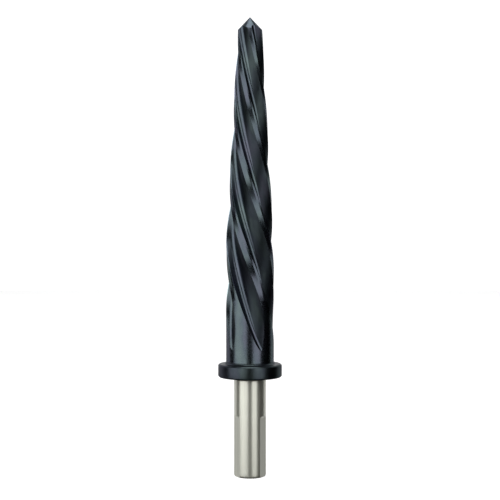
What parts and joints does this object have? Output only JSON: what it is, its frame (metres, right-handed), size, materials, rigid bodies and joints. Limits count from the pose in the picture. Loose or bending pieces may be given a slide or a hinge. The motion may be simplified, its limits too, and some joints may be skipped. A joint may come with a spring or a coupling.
{
  "type": "taper reamer",
  "caption": "One-piece taper reamer with left-hand spiral flutes, a pointed tip, a stop collar and a round shank with drive flats, for opening and lining up bolt holes in steel.",
  "frame": {"origin": "centre of the shank's end face, which the reamer stands on", "axes": "+Z along the reamer's axis from the shank to the tip; +Y is the outward normal of one drive flat, and a cutting edge ends over +X at the flutes' lower ends"},
  "size_m": [0.0254, 0.0254, 0.1824],
  "materials": {
    "tool_steel": "blue-black steam oxide, semi-gloss, on the point, flutes, neck and collar; the shank below the collar is bright ground steel"
  },
  "bodies": {
    "root": {"taper_reamer": "tool_steel"}
  },
  "joints": []
}
